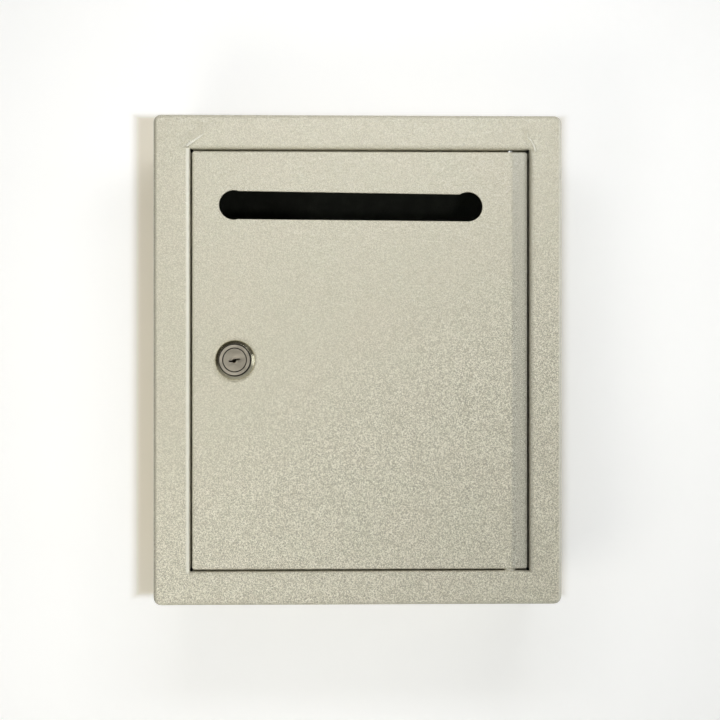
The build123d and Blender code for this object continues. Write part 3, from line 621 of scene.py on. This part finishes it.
def link_piece(name, bm, materials):
    """Makes a bmesh a smooth-shaded object in the scene."""
    mesh = bpy.data.meshes.new(name)
    bm.to_mesh(mesh)
    bm.free()
    for made in materials:
        mesh.materials.append(made)
    mesh.shade_smooth()
    piece = bpy.data.objects.new(name, mesh)
    bpy.context.scene.collection.objects.link(piece)
    return piece


def finish_skin(name, bm, node, materials, hidden=None):
    """Makes the shaped sheet an object that stands for its CAD node."""
    if hidden is not None:
        for face in bm.faces:
            face.material_index = 1 if hidden(face) else 0
    piece = link_piece(name, bm, materials)
    piece.data.set_sharp_from_angle(angle=radians(38))
    even = piece.modifiers.new("even_normals", "WEIGHTED_NORMAL")
    even.keep_sharp = True
    even.weight = 80
    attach(piece, frame["nodes"][node]["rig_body"])
    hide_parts(node)


def offset_path(corner, points):
    """Points given in millimetres right of and above a corner, in the frame."""
    return [(corner[0] + x * MM, corner[1] + z * MM) for x, z in points]


TOP_LEFT = (door_low.x, door_high.z)
TOP_RIGHT = (door_high.x, door_high.z)
BOTTOM_RIGHT = (door_high.x, door_low.z)
LEFT_SEAM = offset_path(TOP_LEFT, [(-2.9, 2.2), (0.2, 4.5), (2.7, 6.2), (4.8, 7.5), (7.3, 10.4)])
RIGHT_SEAM = offset_path(TOP_RIGHT, [(4.0, 0.0), (3.0, 3.5), (1.4, 6.1), (0.0, 7.4), (-0.3, 10.4)])
DENT = offset_path(TOP_RIGHT, [(-15.6, -18.4)])[0]
SCAR = offset_path(BOTTOM_RIGHT, [(-11.0, 16.6), (-12.4, 14.4), (-15.4, 13.8)])
NICKS = [
    offset_path(BOTTOM_RIGHT, [(-9.0, 7.4), (-6.9, 5.0)]),
    offset_path(BOTTOM_RIGHT, [(-7.2, 8.6), (-5.6, 6.6)]),
]


def swell(distance, width):
    """1 at a line, falling smoothly to nothing a few widths away."""
    return exp(-((distance / width) ** 2))


def wavy(x, z, amount, size, seed):
    """Smooth noise up to an amount either way, with features of a size."""
    return amount * noise.noise(Vector((x / size, seed, z / size)))


def case_relief(x, z):
    """The welded corners of the border, and the sheet's slight waviness."""
    height = wavy(x, z, *CASE_WAVE)
    lap = from_path(x, z, LEFT_SEAM)
    if abs(lap) < 3 * LAP_LEFT:
        uneven = 1 + wavy(x, z, *LAP_WAVE)
        height += LAP_HEIGHT * uneven * swell(min(lap, 0.0), LAP_LEFT) * swell(max(lap, 0.0), LAP_RIGHT)
    ridge = from_path(x, z, RIGHT_SEAM)
    if abs(ridge) < 6 * MM:
        uneven = 1 + wavy(x, z, *RIDGE_WAVE)
        crest = RIDGE_HEIGHT * swell(ridge, RIDGE_WIDTH)
        groove = GROOVE_DEPTH * swell(ridge + GROOVE_OFF, GROOVE_WIDTH)
        height += uneven * (crest - groove)
    return height


def door_relief(x, z):
    """The door's slight waviness, one crescent dent and a few small marks low on the hinge side."""
    height = wavy(x, z, *DOOR_WAVE)
    from_dent = hypot(x - DENT[0], z - DENT[1])
    if from_dent < DENT_REACH:
        radius, rise, width = DENT_RIM
        lean = ((x - DENT[0]) - (z - DENT[1])) / max(from_dent, 0.1 * MM) / 1.42
        rim = swell(from_dent - radius, width) * max(0.0, -lean)
        height += rise * rim - DENT_DEPTH * swell(from_dent, DENT_WIDTH)
    scar = from_path(x, z, SCAR)
    if abs(scar) < 4 * MM:
        off, rise, width = SCAR_RIM
        height += rise * swell(scar - off, width) - SCAR_DEPTH * swell(scar, SCAR_WIDTH)
    for nick in NICKS:
        height -= NICK_DEPTH * swell(from_path(x, z, nick), NICK_WIDTH)
    return height


def make_bead(name, path, width, made, relief):
    """A low weld bead along a path on the border, thinner towards its far end."""
    spots = [Vector(spot) for spot in path]
    steps = [
        (start.lerp(end, k / BEAD_STEPS), (end - start).normalized())
        for start, end in zip(spots, spots[1:])
        for k in range(BEAD_STEPS)
    ]
    bm = bmesh.new()
    rows = []
    for number, (spot, along) in enumerate(steps):
        part = number / (len(steps) - 1)
        size = width * (1 - BEAD_TAPER * part**2) * (1 + wavy(spot.x, spot.y, *BEAD_WAVE))
        row = []
        for side in range(BEAD_SIDES):
            angle = 2 * pi * side / BEAD_SIDES
            off = Vector((along.y, -along.x)) * (size * cos(angle))
            level = FRONT - relief(spot.x, spot.y) - BEAD_FLATNESS * size * sin(angle)
            row.append(bm.verts.new((spot.x + off.x, level, spot.y + off.y)))
        rows.append(row)
    for near, far in zip(rows, rows[1:]):
        for side in range(BEAD_SIDES):
            after = (side + 1) % BEAD_SIDES
            bm.faces.new((near[side], near[after], far[after], far[side]))
    bm.faces.new(rows[0])
    bm.faces.new(rows[-1])
    bmesh.ops.recalc_face_normals(bm, faces=bm.faces)
    piece = link_piece(name, bm, [made])
    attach(piece, frame["nodes"]["case_shell"]["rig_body"])


def case_hidden(face):
    """True on the sheet's inner side: the inside walls, and behind the border and its lip."""
    middle, normal = face.calc_center_median(), face.normal
    if abs(normal.y) > 0.7:
        return normal.y > 0 and middle.y < case_high.y - 20 * MM
    inward = normal.x * middle.x + normal.z * middle.z < 0
    on_lip = min(case_high.x - abs(middle.x), case_high.z - abs(middle.z)) > 10 * MM
    return inward != on_lip


def make_case_skin(paint, inner_dark):
    """The case's sheet with its corner welds raised."""
    bm = copy_sheet("case_shell")
    for path in (LEFT_SEAM, RIGHT_SEAM):
        cut_grid(bm, path[2], SEAM_PATCH, FINE_STEP)
    shape_front(bm, case_relief)
    finish_skin("case_skin", bm, "case_shell", [paint, inner_dark], case_hidden)


def make_door_skin(paint):
    """The door's sheet with a softened slot, and its dent, scar and nicks."""
    bm = copy_sheet("door_panel")
    middle = (SLOT_LOW + SLOT_HIGH) / 2
    reach = (SLOT_HIGH - SLOT_LOW) / 2 + Vector((12 * MM, 0, 3 * MM))

    def on_slot(vert):
        out = vert.co - middle
        return abs(vert.co.y - FRONT) < 0.02 * MM and abs(out.x) < reach.x and abs(out.z) < reach.z

    rim = [
        edge
        for edge in bm.edges
        if len(edge.link_faces) == 2
        and all(on_slot(vert) for vert in edge.verts)
        and edge.calc_face_angle(0.0) > radians(60)
    ]
    round_edges(bm, rim, SLOT_ROUNDING)
    centre = ((door_low.x + door_high.x) / 2, (door_low.z + door_high.z) / 2)
    half = ((door_high.x - door_low.x) / 2 - 3 * MM, (door_high.z - door_low.z) / 2 - 3 * MM)
    cut_grid(bm, centre, half, COARSE_STEP)
    cut_grid(bm, DENT, DENT_PATCH, DENT_STEP)
    cut_grid(bm, SCAR[1], SCAR_PATCH, FINE_STEP)
    cut_grid(bm, NICKS[0][1], NICK_PATCH, FINE_STEP)
    shape_front(bm, door_relief)
    finish_skin("door_skin", bm, "door_panel", [paint])


# ---- lock ----------------------------------------------------------------------------------------
def make_bezel(made):
    """The lock's bright ring: a wall, a rounded shoulder and a gentle slope in to the housing's head."""
    bm = bmesh.new()
    loops = []
    for radius, height in BEZEL_PROFILE:
        loop = []
        for step in range(BEZEL_STEPS):
            angle = 2 * pi * step / BEZEL_STEPS
            across, up = radius * MM * cos(angle), radius * MM * sin(angle)
            loop.append(bm.verts.new((LOCK.x + across, FRONT - height * MM, LOCK.z + up)))
        loops.append(loop)
    for near, far in zip(loops, loops[1:] + loops[:1]):
        for step in range(BEZEL_STEPS):
            after = (step + 1) % BEZEL_STEPS
            bm.faces.new((near[step], near[after], far[after], far[step]))
    bmesh.ops.recalc_face_normals(bm, faces=bm.faces)
    finish_skin("bezel_ring", bm, "lock_bezel", [made])


# ---- stage ---------------------------------------------------------------------------------------
def make_sheet(name, corners, faces, made):
    """A flat piece of the stage."""
    mesh = bpy.data.meshes.new(name)
    mesh.from_pydata(corners, [], faces)
    mesh.materials.append(made)
    sheet = bpy.data.objects.new(name, mesh)
    bpy.context.scene.collection.objects.link(sheet)


def make_wall():
    """A pale wall behind the box, open where the box covers it, so that the back can be seen from behind."""
    inner = [case_low.x + 3 * MM, case_high.x - 3 * MM, case_low.z + 3 * MM, case_high.z - 3 * MM]
    outer = [-WALL_HALF_WIDTH, WALL_HALF_WIDTH, FLOOR_Z, WALL_TOP]
    corners = []
    for left, right, bottom, top in (outer, inner):
        y = case_high.y + WALL_GAP
        corners += [(left, y, bottom), (right, y, bottom), (right, y, top), (left, y, top)]
    faces = [(k, (k + 1) % 4, (k + 1) % 4 + 4, k + 4) for k in range(4)]
    make_sheet("wall", corners, faces, plaster("wall_paint", WALL_COLOUR, WALL_GLOW, True))


def make_floor():
    """A pale floor well below the box."""
    reach = WALL_HALF_WIDTH
    corners = [(x * reach, y * reach, FLOOR_Z) for x, y in ((-1, -1), (1, -1), (1, 1), (-1, 1))]
    make_sheet("floor", corners, [(0, 1, 2, 3)], plaster("floor_paint", FLOOR_COLOUR))


def make_light(name, place, aim, width, height, colour, power):
    """A soft box that the camera doesn't see."""
    lamp = bpy.data.lights.new(name, "AREA")
    lamp.shape = "RECTANGLE"
    lamp.size, lamp.size_y = width, height
    lamp.color = colour
    lamp.energy = power
    holder = bpy.data.objects.new(name, lamp)
    holder.location = place
    holder.rotation_euler = (Vector(aim) - Vector(place)).to_track_quat("-Z", "Y").to_euler()
    holder.visible_camera = False
    bpy.context.scene.collection.objects.link(holder)


def make_world():
    """Even grey surroundings, seen by the camera as a paler grey."""
    world = bpy.data.worlds.new("studio")
    world.use_nodes = True
    tree = world.node_tree
    tree.nodes.clear()
    seen = add(tree, "LightPath").outputs["Is Camera Ray"]
    colour = blend(tree, seen, WORLD_COLOUR, WORLD_SEEN)
    shader = add(tree, "Background", {"Color": colour, "Strength": 1.0})
    add(tree, "OutputWorld", {"Surface": shader.outputs[0]})
    bpy.context.scene.world = world


def make_camera():
    """Level, a little left of the middle, and turned back to it."""
    lens = bpy.data.cameras.new("camera")
    lens.lens = CAMERA_LENS
    lens.sensor_width = CAMERA_SENSOR
    lens.clip_start, lens.clip_end = 0.01, 20.0
    camera = bpy.data.objects.new("camera", lens)
    camera.location = (-CAMERA_LEFT, FRONT - CAMERA_DISTANCE, 0.0)
    aim = Vector((CAMERA_AIM_RIGHT, FRONT, 0.0))
    camera.rotation_euler = (aim - camera.location).to_track_quat("-Z", "Y").to_euler()
    bpy.context.scene.collection.objects.link(camera)
    bpy.context.scene.camera = camera


# ---- everything ----------------------------------------------------------------------------------
def finish_cad_nodes():
    """Gives every CAD node that stays its own material."""
    finishes = {
        "back_panel": two_sided("back_panel_paint", BACK_ROUGHNESS),
        "lock_housing": plated("housing_nickel", *HOUSING_PLATE, roughness=0.33, turned=0.5),
        "lock_plug": plated("plug_nickel", *PLUG_PLATE, roughness=0.34, turned=0.8),
        "lock_nut": plated("nut_nickel", *NUT_PLATE, roughness=0.30, turned=0.4, dirt=0.6),
        "lock_washer": brushed_steel("washer_zinc", *ZINC, roughness=0.30, stretch=(1, 1, 1)),
        "cam_washer": brushed_steel("cam_washer_zinc", *ZINC, roughness=0.28, stretch=(1, 1, 1)),
        "cam_stop_washer": brushed_steel("stop_washer_zinc", *ZINC, roughness=0.30, stretch=(1, 1, 6)),
        "cam_screw": brushed_steel("screw_zinc", *ZINC, roughness=0.25, stretch=(1, 1, 1)),
        "lock_cam": brushed_steel("cam_steel", *CAM_STEEL, roughness=0.30, stretch=(8, 8, 1)),
        "hinge_pin_upper": brushed_steel("pin_zinc", *ZINC, roughness=0.25, stretch=(1, 1, 8)),
        "hinge_spacer": nylon("spacer_nylon"),
    }
    finishes["hinge_pin_lower"] = finishes["hinge_pin_upper"]
    brass = brushed_steel("wafer_brass", *BRASS, roughness=0.28, stretch=(1, 1, 10))
    steel = brushed_steel("spring_steel", *SPRING_STEEL, roughness=0.25, stretch=(1, 1, 1))
    for number in range(1, 6):
        finishes[f"wafer_{number}"] = brass
        finishes[f"wafer_spring_{number}"] = steel
    for node, made in finishes.items():
        cad = frame["nodes"][node]
        cad.data.materials.clear()
        cad.data.materials.append(made)


def main():
    """Camera, pieces, stage and lights."""
    make_camera()
    make_case_skin(painted("case_powder_coat", PAINT_ROUGHNESS), inside_finish("case_inside_dark"))
    make_door_skin(painted("door_powder_coat", PAINT_ROUGHNESS, door_high.x - STRIP_WIDTH))
    # the welds are tinted pale with the painted highlight colour
    weld = painted("weld_paint", WELD_ROUGHNESS, tint=PAINTED_HIGHLIGHT_COLOUR)
    make_bead("weld_left", LEFT_SEAM, LEFT_WELD_WIDTH, weld, case_relief)
    make_bead("weld_right", RIGHT_SEAM, RIGHT_WELD_WIDTH, weld, case_relief)
    make_bezel(plated("bezel_chrome", *BEZEL_PLATE, roughness=0.20, turned=0.1, dirt=0.5))
    finish_cad_nodes()
    make_wall()
    make_floor()
    for light in LIGHTS:
        make_light(*light)
    make_world()
    bpy.context.scene.view_settings.view_transform = "Standard"


main()
